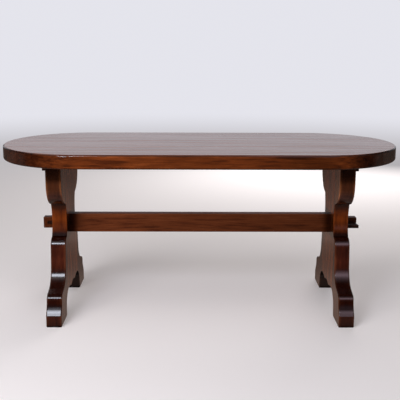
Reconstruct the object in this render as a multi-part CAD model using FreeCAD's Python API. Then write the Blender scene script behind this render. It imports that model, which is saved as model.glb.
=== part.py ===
"""Kitchen table: a round-ended top on two shaped plank trestles and one stretcher.

Millimetres. X runs along the table, Y across it towards the back, Z up.
The origin is on the floor under the middle of the top.
"""
import FreeCAD, Part
import math
import os
from FreeCAD import Vector

# Overall sizes
table_height = 750.0
top_length = 1745.0
top_width = 728.0
top_thickness = 60.0
top_round = 7.5
plank_thickness = 66.0
top_overhang = 248.0
base_shift = 3.4

# Boards glued edge to edge into the top
board_count = 7

# Outline of a trestle plank, outwards from its middle line
foot_half = 333.0
bevel_depth = 25.0
nose_lean = 3.5
flare_half = 192.5
shoulder_half = 167.5
neck_half = 132.0
neck_hollow = 18.0
scroll_half = 231.5

# Outline of a trestle plank, upwards from the floor or downwards from the top
foot_rise = 51.0
bevel_rise = 41.0
nose_rise = 38.0
flare_rise = 30.0
shoulder_share = 0.563
scroll_rise = 193.5
scroll_tilt = 23.0

# How far from a corner of the outline its rounding starts
cove_reach = 16.0
nose_reach = 18.0
flare_reach_share = 0.52
scroll_reach = 81.0
corner_round = 5.0
plank_round = 4.5

# Arch between the two feet of a plank
cusp_half = 48.0
side_lobe = 66.0
arch_corner = 62.0
arch_splay = 16.0
arch_top = 107.0
cusp_drop = 12.0
crown_rise = 12.0

# Stretcher, with a tenon through each plank
stretcher_low = 342.0
stretcher_height = 85.0
stretcher_depth = 46.0
stretcher_round = 4.0
tenon_height = 50.0
tenon_depth = 38.0
tenon_horn = 12.0
tenon_round = 2.5
tenon_play = 0.2

# Wedge-shaped key through each tenon
key_length = 100.0
key_head_width = 54.0
key_tip_width = 40.0
key_thickness = 15.0
key_stand = 68.0
key_round = 2.5
key_play = 0.3
key_relief = 3.0

# Cleat between each plank and the top, on the outer side
cleat_thickness = 25.0
cleat_height = 39.0
cleat_length = 340.0
cleat_round = 2.5

# Wood screws with countersunk heads
screw_diameter = 5.0
screw_core = 3.6
screw_core_share = 0.62
screw_head = 9.6
screw_head_rim = 0.5
screw_head_depth = 3.2
screw_point = 5.0
screw_sink = 0.5
screw_play = 0.2
recess_width = 1.1
recess_length = 5.0
recess_depth = 2.2
top_screw_length = 70.0
side_screw_length = 60.0
top_screw_shares = [-0.6, 0.0, 0.6]
side_screw_shares = [-0.85, -0.3, 0.3, 0.85]

# Dowels across the glue joints
dowel_diameter = 12.0
dowel_chamfer = 1.2
dowel_play = 0.2
dowel_end_play = 1.0
top_dowel_length = 80.0
top_dowel_edge = 40.0
top_dowel_shares = [-1.0, -0.6, -0.2, 0.2, 0.6, 1.0]
plank_dowel_length = 50.0
low_dowel_shares = [0.18, 0.5, 0.82]
high_dowel_shares = [0.15, 0.5, 0.82]
scroll_dowel_shares = [0.3, 0.7]

# Places worked out from the sizes above
plank_height = table_height - top_thickness
board_width = top_width / board_count
end_radius = top_width / 2
straight_half = top_length / 2 - end_radius

bevel_half = foot_half - bevel_depth
nose_half = bevel_half - nose_lean
wing_joint = neck_half + corner_round

bevel_top = foot_rise + bevel_rise
nose_top = bevel_top + nose_rise
flare_top = nose_top + flare_rise
scroll_low = plank_height - scroll_rise
scroll_side = scroll_low + scroll_tilt
shoulder_top = flare_top + (scroll_low - flare_top) * shoulder_share
neck_middle = (shoulder_top + scroll_low) / 2

lobe_half = cusp_half + side_lobe
arch_half = lobe_half + arch_corner
arch_foot = arch_half + arch_splay
cusp_low = arch_top - cusp_drop
crown_top = cusp_low + crown_rise

plank_middle = top_length / 2 - top_overhang
inner_reach = plank_middle - plank_thickness / 2
outer_reach = plank_middle + plank_thickness / 2
tenon_middle = stretcher_low + stretcher_height / 2
tenon_low = tenon_middle - tenon_height / 2
tenon_top = tenon_middle + tenon_height / 2
key_slope = (key_head_width - key_tip_width) / key_length
key_face_width = key_head_width - key_slope * key_stand
tenon_stand = key_play + key_face_width + key_play + tenon_horn
key_head_y = -tenon_depth / 2 - key_stand
cleat_middle = outer_reach + cleat_thickness / 2
cleat_low = plank_height - cleat_height

same_place = 1e-4
cut_past = plank_round


def box(x0, x1, y0, y1, z0, z1):
    return Part.makeBox(x1 - x0, y1 - y0, z1 - z0, Vector(x0, y0, z0))


def segment(points):
    """A straight edge through two points or an arc through three."""
    if len(points) == 2:
        return Part.LineSegment(*points).toShape()
    return Part.Arc(*points).toShape()


def face_from(pieces):
    edges = Part.__sortEdges__([segment(points) for points in pieces])
    return Part.Face(Part.Wire(edges))


def polar(centre_y, centre_z, radius, degrees):
    angle = math.radians(degrees)
    return Vector(0, centre_y + radius * math.cos(angle), centre_z + radius * math.sin(angle))


def mirrored(points):
    return [Vector(point.x, -point.y, point.z) for point in points]


def ends_at(edge, test):
    return all(test(vertex.Point) for vertex in edge.Vertexes)


def rounded(shape, radius, wanted):
    return shape.makeFillet(radius, [edge for edge in shape.Edges if wanted(edge)])


def rounding(before, corner, after, reach):
    """The arc that rounds a corner off, starting and ending at one reach from it."""
    back = (before - corner).normalize()
    ahead = (after - corner).normalize()
    half_angle = back.getAngle(ahead) / 2
    depth = reach / math.cos(half_angle) - reach * math.tan(half_angle)
    inward = (back + ahead).normalize()
    return [corner + back * reach, corner + inward * depth, corner + ahead * reach]


def rounded_path(corners):
    """Lines and arcs through corners, each a point and the reach of its rounding."""
    start = corners[0][0]
    pieces = []
    for number in range(1, len(corners) - 1):
        corner, reach = corners[number]
        arc = rounding(corners[number - 1][0], corner, corners[number + 1][0], reach)
        pieces.append([start, arc[0]])
        if reach > 0:
            pieces.append(arc)
        start = arc[-1]
    pieces.append([start, corners[-1][0]])
    return [piece for piece in pieces if (piece[0] - piece[-1]).Length > same_place]


def side_outline():
    """Rear edge of a plank from the floor up to the top, in the plane across the table."""
    foot = Vector(0, foot_half, 0)
    bevel_start = Vector(0, foot_half, foot_rise)
    nose = Vector(0, nose_half, nose_top)
    flare = Vector(0, flare_half, flare_top)
    neck_low = Vector(0, neck_half, shoulder_top)
    neck_high = Vector(0, neck_half, scroll_low)
    lower = [
        (foot, 0),
        (bevel_start, 0),
        (Vector(0, bevel_half, bevel_top), cove_reach),
        (nose, nose_reach),
        (flare, nose.distanceToPoint(flare) * flare_reach_share),
        (Vector(0, shoulder_half, shoulder_top), shoulder_half - neck_half),
        (neck_low, 0),
    ]
    upper = [
        (neck_high, 0),
        (Vector(0, scroll_half, scroll_side), scroll_reach),
        (Vector(0, scroll_half, plank_height), 0),
    ]
    neck = [neck_low, Vector(0, neck_half - neck_hollow, neck_middle), neck_high]
    pieces = rounded_path(lower) + [neck] + rounded_path(upper)
    return pieces, [foot, bevel_start, neck_low, neck_high]


def arch_outline():
    """Rear half of the three-lobed arch between the feet, without its crown."""
    foot = Vector(0, arch_foot, 0)
    lobe = Vector(0, lobe_half, arch_top)
    cusp = Vector(0, cusp_half, cusp_low)
    corners = [(foot, 0), (Vector(0, arch_half, arch_top), arch_corner), (lobe, 0)]
    lobe_radius = (side_lobe ** 2 + cusp_drop ** 2) / (2 * cusp_drop)
    lobe_turn = math.degrees(math.asin(side_lobe / lobe_radius))
    lobe_middle = polar(lobe_half, arch_top - lobe_radius, lobe_radius, 90 + lobe_turn / 2)
    return rounded_path(corners) + [[lobe, lobe_middle, cusp]], [foot, cusp]


def whole_plank():
    """One trestle plank with all its arrises, centred on X."""
    side, side_sharp = side_outline()
    arch, arch_sharp = arch_outline()
    half = side + arch
    sole = [Vector(0, arch_foot, 0), Vector(0, foot_half, 0)]
    top = Vector(0, scroll_half, plank_height)
    cusp = Vector(0, cusp_half, cusp_low)
    pieces = half + [mirrored(points) for points in half]
    pieces += [sole, mirrored(sole)]
    pieces += [[top] + mirrored([top])]
    pieces += [[cusp, Vector(0, 0, crown_top)] + mirrored([cusp])]
    plank = face_from(pieces).extrude(Vector(plank_thickness, 0, 0))

    sharp = side_sharp + arch_sharp
    sharp += mirrored(sharp)

    def at_corner(edge):
        return any(
            ends_at(edge, lambda p: math.hypot(p.y - q.y, p.z - q.z) < same_place) for q in sharp
        )

    def on_outline(edge):
        if ends_at(edge, lambda p: abs(p.z - plank_height) < same_place):
            return False
        near = ends_at(edge, lambda p: abs(p.x) < same_place)
        return near or ends_at(edge, lambda p: abs(p.x - plank_thickness) < same_place)

    plank = rounded(plank, corner_round, at_corner)
    plank = rounded(plank, plank_round, on_outline)
    plank.translate(Vector(-plank_thickness / 2, 0, 0))
    return plank


def boards_of(plank):
    """The plank cut along its glue joints: two main boards, two feet and two scrolls."""
    near = -plank_thickness
    far = plank_thickness
    wide = foot_half + cut_past
    high = plank_height + cut_past
    return {
        "front_board": plank.common(box(near, far, -wing_joint, 0, -cut_past, high)),
        "rear_board": plank.common(box(near, far, 0, wing_joint, -cut_past, high)),
        "front_foot": plank.common(box(near, far, -wide, -wing_joint, -cut_past, neck_middle)),
        "rear_foot": plank.common(box(near, far, wing_joint, wide, -cut_past, neck_middle)),
        "front_scroll": plank.common(box(near, far, -wide, -wing_joint, neck_middle, high)),
        "rear_scroll": plank.common(box(near, far, wing_joint, wide, neck_middle, high)),
    }


def between(low, high, shares):
    return [low + (high - low) * share for share in shares]


def dowel(middle, length, grow_side, grow_end):
    """A dowel lying across the table, or the hole for it when grown by its play."""
    radius = dowel_diameter / 2 + grow_side
    half = length / 2 + grow_end
    pin = Part.makeCylinder(radius, half + half, middle - Vector(0, half, 0), Vector(0, 1, 0))
    return rounded_ends(pin) if grow_side == 0 else pin


def rounded_ends(pin):
    ends = [edge for edge in pin.Edges if edge.Closed]
    return pin.makeChamfer(dowel_chamfer, ends)


def plank_dowel_middles():
    """Middles of the dowels of one plank whose own middle is at zero."""
    low = between(crown_top, tenon_low, low_dowel_shares)
    high = between(tenon_top, plank_height, high_dowel_shares)
    middles = [Vector(0, 0, z) for z in low + high]
    foot = between(arch_top, shoulder_top, low_dowel_shares)
    scroll = between(scroll_low, plank_height, scroll_dowel_shares)
    for z in foot + scroll:
        middles.append(Vector(0, -wing_joint, z))
        middles.append(Vector(0, wing_joint, z))
    return middles


def top_dowel_middles():
    """Middles of the dowels in the glue joints of the top, half way up its edge."""
    middles = []
    z = table_height - top_thickness / 2
    for joint in range(1, board_count):
        y = joint * board_width - top_width / 2
        far_y = abs(y) + top_dowel_length / 2
        reach = straight_half + math.sqrt(end_radius ** 2 - far_y ** 2) - top_dowel_edge
        middles += [Vector(reach * share, y, z) for share in top_dowel_shares]
    return middles


def wood_screw(length, grow):
    """A countersunk screw pointing up from zero, or the hole for it when grown by its play."""
    head = screw_head / 2 + grow
    shank = screw_diameter / 2 + grow
    core = screw_core / 2 + grow
    under_head = screw_head_rim + screw_head_depth
    smooth = length * (1 - screw_core_share)
    start = -screw_sink - cut_past if grow > 0 else 0
    corners = [
        Vector(0, 0, start),
        Vector(head, 0, start),
        Vector(head, 0, screw_head_rim),
        Vector(shank, 0, under_head),
        Vector(shank, 0, smooth),
        Vector(core, 0, smooth + shank - core),
        Vector(core, 0, length - screw_point + grow),
        Vector(0, 0, length + grow),
        Vector(0, 0, start),
    ]
    face = Part.Face(Part.makePolygon(corners))
    screw = face.revolve(Vector(0, 0, 0), Vector(0, 0, 1), 360)
    if grow > 0:
        return screw
    wide = recess_length / 2
    thin = recess_width / 2
    screw = screw.cut(box(-wide, wide, -thin, thin, -cut_past, recess_depth))
    return screw.cut(box(-thin, thin, -wide, wide, -cut_past, recess_depth))


def top_screws(side, grow):
    """Screws up through a cleat into the top."""
    screws = []
    x = base_shift + side * cleat_middle
    for share in top_screw_shares:
        screw = wood_screw(top_screw_length, grow)
        screw.translate(Vector(x, share * cleat_length / 2, cleat_low + screw_sink))
        screws.append(screw)
    return screws


def side_screws(side, grow):
    """Screws through a cleat into the outer face of its plank."""
    screws = []
    x = base_shift + side * (outer_reach + cleat_thickness - screw_sink)
    for share in side_screw_shares:
        screw = wood_screw(side_screw_length, grow)
        screw.rotate(Vector(0, 0, 0), Vector(0, 1, 0), -side * 90)
        screw.translate(Vector(x, share * cleat_length / 2, cleat_low + cleat_height / 2))
        screws.append(screw)
    return screws


def cleat(side):
    x0 = base_shift + side * outer_reach
    x1 = base_shift + side * (outer_reach + cleat_thickness)
    half = cleat_length / 2
    block = box(min(x0, x1), max(x0, x1), -half, half, cleat_low, plank_height)

    def is_free(edge):
        against_plank = ends_at(edge, lambda p: abs(p.x - x0) < same_place)
        against_top = ends_at(edge, lambda p: abs(p.z - plank_height) < same_place)
        return not against_plank and not against_top

    return rounded(block, cleat_round, is_free)


def key(side):
    """The key of one side, flat against the outer face of the plank, its head outermost."""
    return key_shape(side, 0, key_length, key_thickness, 0, 0)


def key_shape(side, start, end, thickness, inward, outward):
    """A wedge between two distances from the key's head, widened inward and outward."""
    inner = outer_reach + key_play - inward
    low = tenon_middle - thickness / 2
    wide_start = outer_reach + key_play + key_head_width - key_slope * start + outward
    wide_end = outer_reach + key_play + key_head_width - key_slope * end + outward
    corners = [
        Vector(inner, key_head_y + start, low),
        Vector(wide_start, key_head_y + start, low),
        Vector(wide_end, key_head_y + end, low),
        Vector(inner, key_head_y + end, low),
        Vector(inner, key_head_y + start, low),
    ]
    wedge = Part.Face(Part.makePolygon(corners)).extrude(Vector(0, 0, thickness))
    if inward == 0:
        wedge = rounded(wedge, key_round, lambda edge: True)
    if side < 0:
        wedge.rotate(Vector(0, 0, 0), Vector(0, 0, 1), 180)
    wedge.translate(Vector(base_shift, 0, 0))
    return wedge


def key_slot(side):
    start = key_stand - cut_past
    end = key_stand + tenon_depth + cut_past
    return key_shape(side, start, end, key_thickness + key_play + key_play, key_relief, key_play)


def stretcher():
    """The beam with a tenon at each end, slotted for the keys."""
    y = stretcher_depth / 2
    high = stretcher_low + stretcher_height
    beam = box(-inner_reach, inner_reach, -y, y, stretcher_low, high)

    def along(edge):
        return edge.Length > inner_reach

    beam = rounded(beam, stretcher_round, along)
    tenon_y = tenon_depth / 2
    for side in [-1, 1]:
        x0 = side * (inner_reach - cut_past)
        x1 = side * (outer_reach + tenon_stand)
        tenon = box(min(x0, x1), max(x0, x1), -tenon_y, tenon_y, tenon_low, tenon_top)

        def is_free(edge):
            return not ends_at(edge, lambda p: abs(p.x - x0) < same_place)

        beam = beam.fuse(rounded(tenon, tenon_round, is_free))
    beam = beam.removeSplitter()
    beam.translate(Vector(base_shift, 0, 0))
    for side in [-1, 1]:
        beam = beam.cut(key_slot(side))
    return beam


def mortise(side):
    x = base_shift + side * plank_middle
    y = tenon_depth / 2 + tenon_play
    low = tenon_low - tenon_play
    high = tenon_top + tenon_play
    return box(x - plank_thickness, x + plank_thickness, -y, y, low, high)


def cut_all(shape, tools):
    return shape.cut(Part.makeCompound(tools))


def whole_top():
    straight = straight_half
    front = -end_radius
    z = plank_height
    right = [Vector(straight, front, z), Vector(top_length / 2, 0, z)]
    left = [Vector(-straight, end_radius, z), Vector(-top_length / 2, 0, z)]
    right.append(Vector(straight, end_radius, z))
    left.append(Vector(-straight, front, z))
    slab = face_from([right, [right[-1], left[0]], left, [left[-1], right[0]]])
    slab = slab.extrude(Vector(0, 0, top_thickness))

    def is_rim(edge):
        low = ends_at(edge, lambda p: abs(p.z - plank_height) < same_place)
        return low or ends_at(edge, lambda p: abs(p.z - table_height) < same_place)

    return rounded(slab, top_round, is_rim)


def build():
    """Every piece by name."""
    nodes = {}
    screw_holes = {}
    for side in [-1, 1]:
        screw_holes[side] = top_screws(side, screw_play) + side_screws(side, screw_play)

    slab = whole_top()
    pins = top_dowel_middles()
    tools = [dowel(middle, top_dowel_length, dowel_play, dowel_end_play) for middle in pins]
    tools += screw_holes[-1] + screw_holes[1]
    half = top_length / 2
    for number in range(board_count):
        y0 = number * board_width - top_width / 2
        strip = box(-half, half, y0, y0 + board_width, plank_height, table_height)
        nodes["top_board_" + str(number + 1)] = cut_all(slab.common(strip), tools)
    pins = [dowel(middle, top_dowel_length, 0, 0) for middle in pins]
    nodes["top_dowels"] = Part.makeCompound(pins)

    boards = boards_of(whole_plank())
    all_pins = []
    for side, name in [(-1, "left"), (1, "right")]:
        shift = Vector(base_shift + side * plank_middle, 0, 0)
        pins = [middle + shift for middle in plank_dowel_middles()]
        tools = [dowel(middle, plank_dowel_length, dowel_play, dowel_end_play) for middle in pins]
        tools += screw_holes[side] + [mortise(side)]
        for board, shape in boards.items():
            nodes[name + "_trestle_" + board] = cut_all(shape.translated(shift), tools)
        all_pins += [dowel(middle, plank_dowel_length, 0, 0) for middle in pins]
        nodes[name + "_cleat"] = cut_all(cleat(side), screw_holes[side])
        nodes[name + "_key"] = key(side)
    nodes["trestle_dowels"] = Part.makeCompound(all_pins)
    nodes["stretcher"] = stretcher()
    nodes["cleat_top_screws"] = Part.makeCompound(top_screws(-1, 0) + top_screws(1, 0))
    nodes["cleat_side_screws"] = Part.makeCompound(side_screws(-1, 0) + side_screws(1, 0))
    return nodes


os.makedirs("parts", exist_ok=True)
for node, shape in build().items():
    shape.exportStep("parts/" + node + ".step")
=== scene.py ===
"""Kitchen table of dark stained oak: materials, floor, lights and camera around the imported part."""

import math

import bpy
from mathutils import Matrix, Vector


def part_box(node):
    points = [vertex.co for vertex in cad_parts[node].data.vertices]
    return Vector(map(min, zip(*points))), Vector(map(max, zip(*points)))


# The photograph's frame and the camera that fits it
image_side = 400
focal_pixels = 761.7
sensor_width = 36.0
camera_place = (-0.0201, -3.3984, 1.2284)
camera_pitch = 0.2149
camera_yaw = 0.0066
camera_roll = 0.0034

# Oak figure: how dense each pattern is along and across the grain, per metre
wander_density = (1.3, 5.0)
ripple_density = (6.0, 40.0)
pore_density = (75.0, 1500.0)
streak_density = (6.5, 110.0)
blotch_density = (4.5, 26.0)
fleck_density = (28.0, 260.0)
cloud_density = (1.6, 30.0)
wave_density = (9.0, 22.0)
rings_per_metre = 190.0
wander_depth = 0.05
ripple_depth = 0.004

# Oak figure: where each pattern starts and is full, and how much of it shows
early_wood_end = 0.35
late_wood_start = 0.93
pore_range = (0.60, 0.72)
pores_in_late_wood = 0.25
fleck_range = (0.66, 0.78)
streak_share = 0.55
blotch_share = 0.45
ring_share = 0.35
fleck_share = 0.25
pore_share = 0.85
pore_darkness = 0.25
board_shift = 0.04
plain_contrast = 0.19
beam_contrast = 0.27
leg_contrast = 0.30

# Where a surface counts as a face, an arris or end grain, by how squarely it faces along an axis
face_range = (0.90, 0.99)
arris_rise = (0.10, 0.45)
arris_fall = (0.70, 0.97)
end_grain_range = (0.16, 0.50)

# Arris wear with a painted highlight, painted shade where the stretcher meets the trestles, around the
# mortises and inside the arch, a darker tenon, and how the stain warms as it deepens, in metres and shares
side_wear_and_highlight_width = 0.012
wear_and_painted_light_patches = (0.35, 0.65, 0.3, 0.9)
shoulder_shade_start = 0.042
shoulder_shade_end = 0.006
shoulder_shade_depth = 0.26
tenon_start = 0.03
tenon_end = 0.05
tenon_depth = 0.38
mortise_reach = (0.10, 0.15)
mortise_fade = 0.02
arch_reach = 0.20
arch_fade = 0.02
arch_top = (0.13, 0.15)
green_power = 1.12
blue_power = 1.35

# Surface of the wood and of the varnish
streak_relief = 0.5
wood_bump = {"Strength": 0.12, "Distance": 0.0004}
coat_bump = {"Strength": 0.02, "Distance": 0.002}
fine_bump = {"Strength": 0.1, "Distance": 0.0002}
wood_roughness = (0.3, 0.7, 0.46, 0.34)
wood_ior = 1.45
wood_specular = 0.05
coat_ior = 1.5
cloud_range = (0.36, 0.60)
cloud_low = 0.76

# Varnish, as coat weight and roughness
top_varnish = (1.0, 0.12)
leg_varnish = (1.0, 0.15)
thin_varnish = (0.08, 0.30)

# Stain colours, dark, middle and light, linear
top_stain = ((0.054, 0.0108, 0.0026), (0.150, 0.0315, 0.0064), (0.260, 0.0610, 0.0135))
beam_stain = ((0.066, 0.0145, 0.0050), (0.158, 0.0390, 0.0125), (0.254, 0.0710, 0.0250))
neck_stain = ((0.088, 0.0145, 0.0021), (0.215, 0.0400, 0.0055), (0.320, 0.0690, 0.0110))
scroll_stain = ((0.032, 0.0080, 0.0027), (0.094, 0.0262, 0.0102), (0.151, 0.0461, 0.0186))
foot_stain = ((0.0176, 0.0027, 0.0009), (0.048, 0.0079, 0.0030), (0.088, 0.0173, 0.0072))
dull_stain = ((0.016, 0.0056, 0.0036), (0.044, 0.0160, 0.0104), (0.072, 0.0280, 0.0190))
face_stain = ((0.022, 0.0060, 0.0025), (0.048, 0.0140, 0.0060), (0.067, 0.0212, 0.0096))
top_light_share = 0.6

# Colours of the arrises, the end grain and shaded places, linear: the top's arris colour is a painted dark
# line, the arris colours of the scrolls and feet are wear with a painted highlight, and the mortise and
# arch colours are painted shade
top_arris_painted_shade = (0.024, 0.0052, 0.0016)
scroll_worn = (0.320, 0.1050, 0.0350)
foot_worn = (0.150, 0.0400, 0.0150)
end_grain_tint = (0.26, 0.24, 0.30)
key_end_tint = (0.85, 0.85, 0.85)
mortise_painted_shade = (0.26, 0.26, 0.26)
arch_painted_shade = (0.30, 0.32, 0.34)

# Screws and dowels, with colours linear
steel_colour = (0.42, 0.38, 0.30)
steel_roughness = 0.35
beech_colour = (0.52, 0.34, 0.18)
beech_roughness = 0.6
mottle_scale = 350.0
mottle_range = (0.35, 0.65)
mottle_deep = 0.8
mottle_pale = 1.15
rubbed_smooth = 0.85
rubbed_rough = 1.15

# Painted light and shade by place along the table, on the edges of the top and the stretcher:
# mostly lighter towards the left and darker towards the right, in metres and shares
rim_painted_light = [
    (-0.53, 1.0), (-0.45, 1.40), (-0.34, 1.35), (-0.25, 1.05), (-0.06, 0.90), (0.04, 1.0),
    (0.13, 1.15), (0.22, 1.10), (0.32, 0.82), (0.40, 0.58), (0.50, 0.56), (0.60, 1.0),
]
beam_painted_light = [
    (-0.50, 1.0), (-0.40, 1.17), (-0.31, 1.10), (-0.22, 1.0),
    (-0.13, 0.90), (0.05, 0.92), (0.23, 0.82), (0.50, 0.78),
]

# How the stain and the varnish change with height on the edges of the legs, in metres and shares.
# The stain steps also hold painted light and shade: a painted shadow under the top and under the scroll,
# painted light on the lower scroll, painted shade in the cove of the foot and a painted contact shadow at
# the floor
foot_stain_and_painted_light = [
    (0.004, 0.06), (0.009, 0.45), (0.034, 0.75), (0.055, 0.85), (0.075, 0.70),
    (0.092, 0.42), (0.108, 0.45), (0.125, 0.90), (0.150, 1.15), (0.180, 1.00),
    (0.207, 0.75), (0.225, 1.15), (0.250, 1.35), (0.285, 1.00), (0.345, 1.00),
]
foot_coat_heights = [
    (0.004, 0.1), (0.012, 1.0), (0.048, 1.0), (0.057, 0.74),
    (0.065, 1.0), (0.078, 0.08), (0.102, 0.10), (0.112, 1.0),
]
neck_stain_and_painted_light = [
    (0.357, 0.15), (0.375, 0.62), (0.400, 0.64), (0.425, 0.96), (0.455, 0.71), (0.479, 0.48), (0.492, 0.42),
]
neck_coat_heights = [(0.374, 0.0), (0.395, 1.0)]
scroll_stain_and_painted_light = [
    (0.512, 0.55), (0.524, 1.5), (0.540, 2.8), (0.555, 2.4), (0.568, 1.3),
    (0.580, 0.89), (0.597, 0.89), (0.628, 0.28), (0.645, 0.22),
]

# Floor and backdrop, with colours linear
floor_side = 60.0
backdrop_colour = (0.78, 0.78, 0.84)
floor_colour = (0.82, 0.765, 0.75)
floor_in_bounces = (0.42, 0.37, 0.34)
floor_lift = 0.20
fade_start = 2.2
fade_end = 9.0

# What glossy surfaces mirror, with colours linear. Floor depths are in metres along Y, and the
# other places are parts of a direction of length one.
floor_in_gloss = (0.23, 0.171, 0.147)
floor_in_gloss_depths = [
    (-1.3, 0.09), (0.0, 0.95), (0.13, 1.0), (0.26, 0.79), (0.57, 0.49), (0.70, 0.43),
    (0.95, 0.55), (1.15, 0.87), (1.4, 0.88), (2.05, 0.58), (2.48, 0.47), (3.26, 0.33),
]
front_in_gloss = (0.05, 0.05, 0.05)
wall_in_gloss = (0.64, 0.645, 0.70)
wall_behind = (-0.2, 0.5)
wall_top = (0.22, 0.45)
wall_aside = (0.40, 0.75)
wall_aside_share = 0.1
glow_in_gloss = (1.00, 0.97, 0.97)
glow_bottom = (0.60, 0.74)
glow_top = (0.74, 0.96)
glow_aside = (-0.05, 0.1)
pane_in_gloss = (2.6, 1.9, 2.2)
pane_levels = [
    (0.05, 0.0), (0.14, 0.05), (0.26, 0.25), (0.375, 0.52), (0.50, 0.95), (0.60, 1.0),
    (0.67, 0.72), (0.73, 0.44), (0.79, 0.27), (0.866, 0.14), (0.93, 0.04), (0.97, 0.0),
]
pane_inner = (0.03, 0.12)
pane_outer = (0.30, 0.55)
pane_outer_share = 0.1
pane_in_front = (-0.25, -0.05)

# Light on the object: name, place, target, size, power, colour, and whether glossy surfaces mirror it
world_light = (0.18, 0.18, 0.19)
window_colour = (0.92, 0.97, 1.10)
white = (1.0, 1.0, 1.0)
lamps = [
    ("left_window", (-1.40, -3.1, 2.50), (-0.6, 0.0, 0.2), (0.95, 0.90), 41.0, window_colour, True),
    ("right_window", (1.35, -3.1, 2.50), (0.6, 0.0, 0.2), (1.0, 2.7), 10.5, window_colour, False),
    ("side_fill", (-2.2, -3.0, 1.3), (-0.2, 0.0, 0.4), (1.5, 1.3), 46.0, white, False),
    ("rear_fill", (1.2, 3.6, 1.5), (0.0, 0.0, 0.4), (2.4, 1.6), 60.0, white, False),
    ("ceiling_fill", (-1.0, -1.6, 3.4), (0.0, 0.0, 0.4), (2.5, 1.5), 24.0, white, False),
]


def new_node(tree, kind, inputs=None, **settings):
    """Adds a node, sets its properties, and fills its inputs with links or plain values."""
    node = tree.nodes.new(kind)
    for name, value in settings.items():
        setattr(node, name, value)
    for name, value in (inputs or {}).items():
        if isinstance(value, bpy.types.NodeSocket):
            tree.links.new(value, node.inputs[name])
        else:
            node.inputs[name].default_value = value
    return node


def math_node(tree, operation, *values):
    node = new_node(tree, "ShaderNodeMath", dict(enumerate(values)), operation=operation)
    return node.outputs[0]


def product(tree, first, *others):
    """Several values multiplied together."""
    for other in others:
        first = math_node(tree, "MULTIPLY", first, other)
    return first


def remap(tree, value, low, high, new_low=0.0, new_high=1.0):
    """Maps a range to another, smoothly and within its ends."""
    node = new_node(
        tree,
        "ShaderNodeMapRange",
        {"Value": value, "From Min": low, "From Max": high, "To Min": new_low, "To Max": new_high},
        interpolation_type="SMOOTHSTEP",
    )
    return node.outputs["Result"]


def falling(tree, value, low, high, end=0.0):
    """Goes smoothly from 1 at the low end of a range to its end value at the high end."""
    return remap(tree, value, low, high, 1.0, end)


def mix_colour(tree, factor, first, second, blend="MIX"):
    """Mixes two colours, each a link or a plain colour. The slots are those of a mix node for colour."""
    factor_slot, first_slot, second_slot, colour_output = 0, 6, 7, 2
    node = tree.nodes.new("ShaderNodeMix")
    node.data_type = "RGBA"
    node.blend_type = blend
    for slot, value in ((factor_slot, factor), (first_slot, first), (second_slot, second)):
        if isinstance(value, bpy.types.NodeSocket):
            tree.links.new(value, node.inputs[slot])
        elif slot == factor_slot:
            node.inputs[slot].default_value = value
        else:
            node.inputs[slot].default_value = (*value, 1.0)
    return node.outputs[colour_output]


def mix_shader(tree, factor, first, second):
    node = new_node(tree, "ShaderNodeMixShader", {"Fac": factor})
    tree.links.new(first.outputs[0], node.inputs[1])
    tree.links.new(second.outputs[0], node.inputs[2])
    return node


def stretched(tree, vector, along, across):
    """Coordinates in which a pattern is this dense along the grain and this dense across it."""
    node = new_node(
        tree,
        "ShaderNodeVectorMath",
        {0: vector, 1: (along, across, across)},
        operation="MULTIPLY",
    )
    return node.outputs["Vector"]


def noise(tree, vector, scale=1.0, detail=3.0, roughness=0.5):
    node = new_node(
        tree,
        "ShaderNodeTexNoise",
        {"Vector": vector, "Scale": scale, "Detail": detail, "Roughness": roughness},
    )
    return node.outputs["Fac"]


def object_place(tree):
    """The X, Y and Z of a place on the object, in metres."""
    given = tree.nodes.new("ShaderNodeTexCoord").outputs["Object"]
    return new_node(tree, "ShaderNodeSeparateXYZ", {"Vector": given}).outputs


def oak_group():
    """Solid oak figure. Input is a place in the board in metres with X along the grain."""
    tree = bpy.data.node_groups.new("oak_figure", "ShaderNodeTree")
    tree.interface.new_socket("Place", in_out="INPUT", socket_type="NodeSocketVector")
    for name in ("Rings", "Pores", "Streaks", "Blotches", "Flecks"):
        tree.interface.new_socket(name, in_out="OUTPUT", socket_type="NodeSocketFloat")
    given = tree.nodes.new("NodeGroupInput").outputs["Place"]
    result = tree.nodes.new("NodeGroupOutput")

    wander = noise(tree, stretched(tree, given, *wander_density), detail=2.0)
    ripple = noise(tree, stretched(tree, given, *ripple_density), detail=2.0)
    parts = new_node(tree, "ShaderNodeSeparateXYZ", {"Vector": given}).outputs
    squares = [math_node(tree, "POWER", parts[axis], 2.0) for axis in "YZ"]
    radius = math_node(tree, "SQRT", math_node(tree, "ADD", *squares))
    radius = math_node(tree, "ADD", radius, product(tree, wander, wander_depth))
    radius = math_node(tree, "ADD", radius, product(tree, ripple, ripple_depth))
    turn = math_node(tree, "FRACT", product(tree, radius, rings_per_metre))
    early = falling(tree, turn, 0.0, early_wood_end)
    late = remap(tree, turn, late_wood_start, 1.0)
    rings = math_node(tree, "MAXIMUM", early, late)

    open_pores = remap(tree, noise(tree, stretched(tree, given, *pore_density), detail=1.0), *pore_range)
    pores = product(tree, open_pores, remap(tree, rings, 0.0, 1.0, pores_in_late_wood, 1.0))
    streaks = noise(tree, stretched(tree, given, *streak_density), detail=5.0, roughness=0.65)
    blotches = noise(tree, stretched(tree, given, *blotch_density), detail=3.0, roughness=0.6)
    flecks = remap(tree, noise(tree, stretched(tree, given, *fleck_density), detail=2.0), *fleck_range)
    for name, value in (
        ("Rings", rings),
        ("Pores", pores),
        ("Streaks", streaks),
        ("Blotches", blotches),
        ("Flecks", flecks),
    ):
        tree.links.new(value, result.inputs[name])
    return tree


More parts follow.
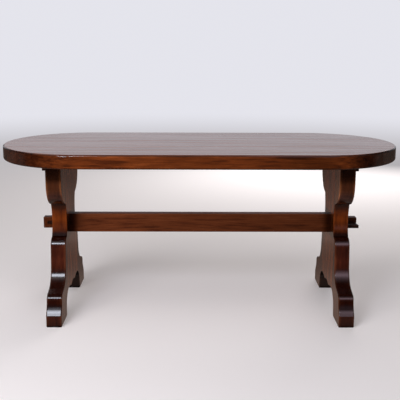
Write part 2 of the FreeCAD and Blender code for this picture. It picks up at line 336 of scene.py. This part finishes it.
def board_place(tree, grain, pith, seed):
    """Place in the board, turned so that X runs along the grain and the pith is at zero."""
    seed_spacing = 3.7
    parts = object_place(tree)
    order = {"X": "XYZ", "Y": "YXZ", "Z": "ZYX"}[grain]
    along = math_node(tree, "ADD", parts[order[0]], seed * seed_spacing)
    side = math_node(tree, "SUBTRACT", parts[order[1]], pith[0])
    depth = math_node(tree, "SUBTRACT", parts[order[2]], pith[1])
    joined = new_node(tree, "ShaderNodeCombineXYZ", {"X": along, "Y": side, "Z": depth})
    return joined.outputs["Vector"]


def normal_part(tree, axis):
    """How squarely the surface faces along an axis of the object, from 0 to 1."""
    normal = tree.nodes.new("ShaderNodeTexCoord").outputs["Normal"]
    parts = new_node(tree, "ShaderNodeSeparateXYZ", {"Vector": normal})
    return math_node(tree, "ABSOLUTE", parts.outputs[axis])


def on_arris(tree, axis):
    """Where the surface rounds over between facing along an axis and facing across it."""
    square = normal_part(tree, axis)
    return product(tree, remap(tree, square, *arris_rise), falling(tree, square, *arris_fall))


def soft_steps(tree, place, steps):
    """A value that goes smoothly through pairs of place and value."""
    value = steps[0][1]
    for (low, before), (high, after) in zip(steps, steps[1:]):
        step = remap(tree, place, low, high, 0.0, after - before)
        value = math_node(tree, "ADD", value, step)
    return value


def along_axis(tree, axis, steps):
    """A value that goes smoothly through pairs of place on an axis in metres and value."""
    return soft_steps(tree, object_place(tree)[axis], steps)


def distance_from(tree, axis, middle):
    """How far a place is from a plane across an axis, in metres."""
    place = object_place(tree)[axis]
    return math_node(tree, "ABSOLUTE", math_node(tree, "SUBTRACT", place, middle))


def near_side(tree, axis, middle, half):
    """How close a place is to either side of a board, from 0 inside to 1 at the side."""
    return remap(tree, distance_from(tree, axis, middle), half - side_wear_and_highlight_width, half)


def by_tone(tree, tone, stain):
    """Stain colour from dark through middle to light."""
    dark, middle, light = stain
    colour = mix_colour(tree, remap(tree, tone, 0.0, 0.5), dark, middle)
    return mix_colour(tree, remap(tree, tone, 0.5, 1.0), colour, light)


def shade_near_shoulders(tree, centre, shoulder):
    """Painted shade on the stretcher where it meets the trestles, darkest at the shoulders and less dark on
    the tenons, which stay darker than the middle.
    """
    away = distance_from(tree, "X", centre)
    painted_shade = falling(tree, away, shoulder - shoulder_shade_start, shoulder - shoulder_shade_end, shoulder_shade_depth)
    tenon = remap(tree, away, shoulder + tenon_start, shoulder + tenon_end, 0.0, tenon_depth)
    return math_node(tree, "ADD", painted_shade, tenon)


def shade_near_mortise(tree, on_face, middle, inward, low, high):
    """Painted shade on the inner face of a trestle around the stretcher, from 0 outside to 1 beside it."""
    parts = object_place(tree)
    inner = remap(tree, parts["X"], middle, middle + mortise_fade * inward)
    beside = falling(tree, math_node(tree, "ABSOLUTE", parts["Y"]), *mortise_reach)
    above = remap(tree, parts["Z"], low - mortise_fade, low)
    below = falling(tree, parts["Z"], high, high + mortise_fade)
    return product(tree, beside, above, below, inner, on_face)


def shade_in_arch(tree, on_edge, reach):
    """Painted shade inside the arch between the feet, from 0 outside to 1 in it."""
    parts = object_place(tree)
    arch_shade = falling(tree, math_node(tree, "ABSOLUTE", parts["Y"]), reach, reach + arch_fade)
    return product(tree, on_edge, arch_shade, falling(tree, parts["Z"], *arch_top))


def stain_and_light_filter(tree, depth):
    """A colour multiplier from a share, warmer where it lets less through. It carries painted light and
    shade as well as stain.
    """
    green = math_node(tree, "POWER", depth, green_power)
    blue = math_node(tree, "POWER", depth, blue_power)
    return new_node(tree, "ShaderNodeCombineColor", {"Red": depth, "Green": green, "Blue": blue}).outputs[0]


def stained_oak(name, figure, board, stain, varnish, heights=None, coat_heights=None):
    """Dark stained oak under varnish, with its own figure for each board, and with painted light and shade
    on some boards.

    The board's own values: seed, grain (axis), arris (axis across its faces) and pith. Some boards
    also have contrast, face (stain of the faces), middle and half (place and half width between
    the faces), the colour of the arrises (lighter wear with a painted highlight, and on the top a painted
    dark line), end, lengths (painted light and shade along X), centre and shoulder (painted shade near the
    shoulders), mortise (painted shade around the mortise), reveal (painted shade inside the arch), and flat
    (share of the light stain on the faces).
    """
    dark, middle, light = stain
    coat, coat_roughness = varnish
    grain, arris, seed = board["grain"], board["arris"], board["seed"]
    contrast = board.get("contrast", plain_contrast)
    material = bpy.data.materials.new(name)
    material.use_nodes = True
    tree = material.node_tree
    tree.nodes.clear()
    place = board_place(tree, grain, board["pith"], seed)
    oak = new_node(tree, "ShaderNodeGroup", node_tree=figure)
    tree.links.new(place, oak.inputs["Place"])

    seed_turn = 2.3
    tone = math_node(
        tree,
        "ADD",
        product(tree, oak.outputs["Streaks"], streak_share),
        product(tree, oak.outputs["Blotches"], blotch_share),
    )
    tone = math_node(tree, "ADD", tone, board_shift * math.sin(seed * seed_turn))
    tone = remap(tree, tone, 0.5 - contrast, 0.5 + contrast)
    on_face = remap(tree, normal_part(tree, arris), *face_range)
    on_edge = math_node(tree, "SUBTRACT", 1.0, on_face)
    colour = by_tone(tree, tone, stain)
    if "face" in board:
        colour = mix_colour(tree, on_face, colour, by_tone(tree, tone, board["face"]))
    colour = mix_colour(tree, product(tree, oak.outputs["Rings"], ring_share), colour, dark)
    colour = mix_colour(tree, product(tree, oak.outputs["Flecks"], fleck_share), colour, light)
    # The arrises get their own colour: lighter wear with a painted highlight on the legs and the stretcher,
    # and a painted dark line on the top.
    worn = on_arris(tree, arris)
    if "half" in board:
        worn = math_node(tree, "MAXIMUM", worn, near_side(tree, arris, board["middle"], board["half"]))
    worn = product(tree, worn, remap(tree, oak.outputs["Blotches"], *wear_and_painted_light_patches))
    colour = mix_colour(tree, worn, colour, board.get("worn", light))
    black = tuple(pore_darkness * part for part in dark)
    colour = mix_colour(tree, product(tree, oak.outputs["Pores"], pore_share), colour, black)
    cut = remap(tree, normal_part(tree, grain), *end_grain_range)
    colour = mix_colour(tree, cut, colour, board.get("end", end_grain_tint), blend="MULTIPLY")
    # On the edges of the legs, stain together with painted light and shade by height.
    if heights:
        depth = stain_and_light_filter(tree, along_axis(tree, "Z", heights))
        colour = mix_colour(tree, on_edge, colour, depth, blend="MULTIPLY")
    # Painted light and shade along X on the edges.
    if "lengths" in board:
        depth = along_axis(tree, "X", board["lengths"])
        colour = mix_colour(tree, on_edge, colour, depth, blend="MULTIPLY")
    # Painted shade on the stretcher next to the trestles.
    if "shoulder" in board:
        shoulder_shade = stain_and_light_filter(tree, shade_near_shoulders(tree, board["centre"], board["shoulder"]))
        colour = mix_colour(tree, 1.0, colour, shoulder_shade, blend="MULTIPLY")
    # Painted shade on the inner faces of the trestles around the stretcher.
    if "mortise" in board:
        painted_shade = shade_near_mortise(tree, on_face, board["middle"], *board["mortise"])
        colour = mix_colour(tree, painted_shade, colour, mortise_painted_shade, blend="MULTIPLY")
    # Painted shade inside the arch between the feet.
    if "reveal" in board:
        arch_shade = shade_in_arch(tree, on_edge, board["reveal"])
        colour = mix_colour(tree, arch_shade, colour, arch_painted_shade, blend="MULTIPLY")
    if "flat" in board:
        colour = mix_colour(tree, product(tree, on_face, board["flat"]), colour, light)
        cloud = noise(tree, stretched(tree, place, *cloud_density), detail=4.0, roughness=0.6)
        coat = remap(tree, cloud, *cloud_range, cloud_low * coat, coat)
    if coat_heights:
        coat = remap(tree, on_edge, 0.0, 1.0, 1.0, along_axis(tree, "Z", coat_heights))

    relief = product(tree, oak.outputs["Streaks"], streak_relief)
    relief = math_node(tree, "SUBTRACT", relief, oak.outputs["Pores"])
    bump = new_node(tree, "ShaderNodeBump", {"Height": relief, **wood_bump})
    waves = noise(tree, stretched(tree, place, *wave_density), detail=2.0)
    varnish_bump = new_node(tree, "ShaderNodeBump", {"Height": waves, **coat_bump})
    shader = new_node(
        tree,
        "ShaderNodeBsdfPrincipled",
        {
            "Base Color": colour,
            "Roughness": remap(tree, oak.outputs["Streaks"], *wood_roughness),
            "IOR": wood_ior,
            "Specular IOR Level": wood_specular,
            "Coat Weight": coat,
            "Coat Roughness": coat_roughness,
            "Coat IOR": coat_ior,
            "Normal": bump.outputs["Normal"],
            "Coat Normal": varnish_bump.outputs["Normal"],
        },
    )
    output = new_node(tree, "ShaderNodeOutputMaterial")
    tree.links.new(shader.outputs["BSDF"], output.inputs["Surface"])
    return material


def mottled(name, colour, roughness, metallic=0.0):
    """Fine mottled surface for the screws and the dowels."""
    material = bpy.data.materials.new(name)
    material.use_nodes = True
    tree = material.node_tree
    shader = tree.nodes["Principled BSDF"]
    place = tree.nodes.new("ShaderNodeTexCoord").outputs["Object"]
    mottle = noise(tree, place, mottle_scale)
    pale = tuple(min(1.0, part * mottle_pale) for part in colour)
    deep = tuple(part * mottle_deep for part in colour)
    tree.links.new(mix_colour(tree, mottle, deep, pale), shader.inputs["Base Color"])
    rubbed = remap(tree, mottle, *mottle_range, rubbed_smooth * roughness, rubbed_rough * roughness)
    tree.links.new(rubbed, shader.inputs["Roughness"])
    bump = new_node(tree, "ShaderNodeBump", {"Height": mottle, **fine_bump})
    tree.links.new(bump.outputs["Normal"], shader.inputs["Normal"])
    shader.inputs["Metallic"].default_value = metallic
    return material


def dress(node, material):
    mesh = node.data
    mesh.materials.clear()
    mesh.materials.append(material)
    node.active_material_index = 0


def dress_table(nodes):
    """Each board gets its own figure, with the grain along its length."""
    seed_count = 97
    swing_turn = 1.7
    top_pith_aside = 0.03
    top_pith_below = 0.05
    leg_pith_aside = 0.03
    leg_pith_behind = 0.09
    beam_pith = (0.07, 0.02)
    small_pith = (0.05, 0.03)
    figure = oak_group()
    for name, node in nodes.items():
        low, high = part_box(name)
        middle = (low + high) / 2
        seed = sum(ord(letter) * (place + 1) for place, letter in enumerate(name)) % seed_count
        swing = math.sin(seed * swing_turn)
        board = {"seed": seed, "grain": "X", "arris": "Z"}
        if name.startswith("top_board"):
            below = top_pith_below + top_pith_aside * abs(swing)
            board["pith"] = (middle.y + top_pith_aside * swing, low.z - below)
            # The top's arris gets a painted dark line where its rounding mirrors little light.
            board["worn"] = top_arris_painted_shade
            board["flat"] = top_light_share
            board["lengths"] = rim_painted_light
            look = stained_oak("oak_" + name, figure, board, top_stain, top_varnish)
        elif "trestle_" in name and "dowels" not in name:
            behind = math.copysign(leg_pith_behind, swing)
            board["pith"] = (middle.y + leg_pith_aside * swing, middle.x + behind)
            board["grain"], board["arris"] = "Z", "X"
            board["middle"], board["half"] = middle.x, (high.x - low.x) / 2
            stain, heights, coat_heights = neck_stain, neck_stain_and_painted_light, neck_coat_heights
            # Painted shade inside the arch between the feet.
            board["reveal"] = arch_reach
            board["face"] = face_stain
            board["contrast"] = leg_contrast
            beam_low, beam_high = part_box("stretcher")
            # Painted shade around the stretcher on the inner faces.
            board["mortise"] = (math.copysign(1.0, -middle.x), beam_low.z, beam_high.z)
            # The feet and the scrolls have lighter arrises: wear with a painted highlight.
            if name.endswith("foot"):
                stain, heights, coat_heights = foot_stain, foot_stain_and_painted_light, foot_coat_heights
                board["worn"] = foot_worn
            if name.endswith("scroll"):
                stain, heights, coat_heights = scroll_stain, scroll_stain_and_painted_light, None
                board["worn"] = scroll_worn
            look = stained_oak("oak_" + name, figure, board, stain, leg_varnish, heights, coat_heights)
        elif name == "stretcher":
            board["pith"] = (beam_pith[0], low.z - beam_pith[1])
            board["contrast"] = beam_contrast
            board["lengths"] = beam_painted_light
            # Where the painted shade on the stretcher sits, next to the trestles.
            left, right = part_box("left_trestle_front_board"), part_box("right_trestle_front_board")
            board["centre"] = (left[1].x + right[0].x) / 2
            board["shoulder"] = (right[0].x - left[1].x) / 2
            look = stained_oak("oak_" + name, figure, board, beam_stain, thin_varnish)
        elif name.endswith("_cleat") or name.endswith("_key"):
            board["grain"] = "Y"
            board["pith"] = (middle.x + small_pith[0], low.z - small_pith[1])
            board["end"] = key_end_tint
            look = stained_oak("oak_" + name, figure, board, dull_stain, thin_varnish)
        elif "screws" in name:
            look = mottled("steel_" + name, steel_colour, steel_roughness, metallic=1.0)
        else:
            look = mottled("beech_" + name, beech_colour, beech_roughness)
        dress(node, look)


def make_floor():
    """A plain pale floor that fades into the backdrop and keeps the table's shadow."""
    bpy.ops.mesh.primitive_plane_add(size=floor_side, location=(0, 0, 0))
    floor = bpy.context.object
    floor.name = "floor"
    material = bpy.data.materials.new("pale_floor")
    material.use_nodes = True
    tree = material.node_tree
    tree.nodes.clear()
    path = tree.nodes.new("ShaderNodeLightPath")
    place = tree.nodes.new("ShaderNodeTexCoord").outputs["Object"]
    distance = new_node(tree, "ShaderNodeVectorMath", {0: place}, operation="LENGTH").outputs["Value"]
    albedo = mix_colour(tree, path.outputs["Is Camera Ray"], floor_in_bounces, floor_colour)
    lit = new_node(tree, "ShaderNodeBsdfDiffuse", {"Color": albedo})
    lift = new_node(tree, "ShaderNodeEmission", {"Color": (*floor_colour, 1.0), "Strength": floor_lift})
    far = new_node(tree, "ShaderNodeEmission", {"Color": (*backdrop_colour, 1.0), "Strength": 1.0})
    lifted = new_node(tree, "ShaderNodeAddShader")
    tree.links.new(lit.outputs[0], lifted.inputs[0])
    tree.links.new(lift.outputs[0], lifted.inputs[1])
    seen = mix_shader(tree, remap(tree, distance, fade_start, fade_end), lifted, far)
    # Glossy rays see a painted reflection of the floor: a glow whose strength goes by place along Y, not
    # the lit floor.
    depth = along_axis(tree, "Y", floor_in_gloss_depths)
    in_gloss = new_node(tree, "ShaderNodeEmission", {"Color": (*floor_in_gloss, 1.0), "Strength": depth})
    unseen = mix_shader(tree, path.outputs["Is Glossy Ray"], lit, in_gloss)
    both = mix_shader(tree, path.outputs["Is Camera Ray"], unseen, seen)
    output = new_node(tree, "ShaderNodeOutputMaterial")
    tree.links.new(both.outputs[0], output.inputs["Surface"])
    floor.data.materials.append(material)


def make_world():
    """A pale backdrop. Glossy surfaces mirror a wall behind the table and a dim room in front of it."""
    world = bpy.data.worlds.new("studio")
    bpy.context.scene.world = world
    world.use_nodes = True
    tree = world.node_tree
    tree.nodes.clear()
    path = tree.nodes.new("ShaderNodeLightPath")
    towards = tree.nodes.new("ShaderNodeTexCoord").outputs["Generated"]
    parts = new_node(tree, "ShaderNodeSeparateXYZ", {"Vector": towards}).outputs
    sideways = math_node(tree, "ABSOLUTE", parts["X"])
    wall = product(
        tree,
        remap(tree, parts["Y"], *wall_behind),
        falling(tree, parts["Z"], *wall_top),
        falling(tree, sideways, *wall_aside, wall_aside_share),
    )
    glow = product(
        tree,
        remap(tree, parts["Z"], *glow_bottom),
        falling(tree, parts["Z"], *glow_top),
        falling(tree, parts["X"], *glow_aside),
    )
    pane = product(
        tree,
        soft_steps(tree, parts["Z"], pane_levels),
        remap(tree, parts["X"], *pane_inner),
        falling(tree, parts["X"], *pane_outer, pane_outer_share),
        falling(tree, parts["Y"], *pane_in_front),
    )
    mirrored = mix_colour(tree, glow, front_in_gloss, glow_in_gloss)
    mirrored = mix_colour(tree, pane, mirrored, pane_in_gloss)
    mirrored = mix_colour(tree, wall, mirrored, wall_in_gloss)
    glossy = math_node(tree, "MAXIMUM", path.outputs["Is Glossy Ray"], path.outputs["Is Transmission Ray"])
    colour = mix_colour(tree, glossy, world_light, mirrored)
    colour = mix_colour(tree, path.outputs["Is Camera Ray"], colour, backdrop_colour)
    background = new_node(tree, "ShaderNodeBackground", {"Color": colour, "Strength": 1.0})
    output = new_node(tree, "ShaderNodeOutputWorld")
    tree.links.new(background.outputs["Background"], output.inputs["Surface"])


def make_lights():
    """A window in front on the left, its dim neighbour on the right, and soft fills."""
    for name, place, target, size, power, colour, mirrored in lamps:
        data = bpy.data.lights.new(name, "AREA")
        data.shape = "RECTANGLE"
        data.size, data.size_y = size
        data.energy = power
        data.color = colour
        light = bpy.data.objects.new(name, data)
        light.location = place
        aim = Vector(target) - Vector(place)
        light.rotation_euler = aim.to_track_quat("-Z", "Y").to_euler()
        light.visible_glossy = mirrored
        bpy.context.scene.collection.objects.link(light)


def make_camera():
    """The camera fitted to the photograph."""
    forward = Vector((
        math.sin(camera_yaw) * math.cos(camera_pitch),
        math.cos(camera_yaw) * math.cos(camera_pitch),
        -math.sin(camera_pitch),
    ))
    right = Vector((math.cos(camera_yaw), -math.sin(camera_yaw), 0.0))
    up = right.cross(forward)
    rolled_right = math.cos(camera_roll) * right + math.sin(camera_roll) * up
    rolled_up = math.cos(camera_roll) * up - math.sin(camera_roll) * right
    turn = Matrix((rolled_right, rolled_up, -forward)).transposed()
    data = bpy.data.cameras.new("camera")
    data.sensor_width = sensor_width
    data.lens = focal_pixels / image_side * sensor_width
    camera = bpy.data.objects.new("camera", data)
    camera.matrix_world = Matrix.Translation(camera_place) @ turn.to_4x4()
    bpy.context.scene.collection.objects.link(camera)
    bpy.context.scene.camera = camera


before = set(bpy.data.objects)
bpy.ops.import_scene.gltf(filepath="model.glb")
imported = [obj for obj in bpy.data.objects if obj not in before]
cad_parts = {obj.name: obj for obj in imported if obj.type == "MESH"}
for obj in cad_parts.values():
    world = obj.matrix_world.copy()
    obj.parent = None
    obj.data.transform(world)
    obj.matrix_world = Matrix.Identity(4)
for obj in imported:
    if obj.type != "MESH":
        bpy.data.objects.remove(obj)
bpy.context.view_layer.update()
dress_table(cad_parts)
make_floor()
make_world()
make_lights()
make_camera()
bpy.context.scene.view_settings.view_transform = "Standard"
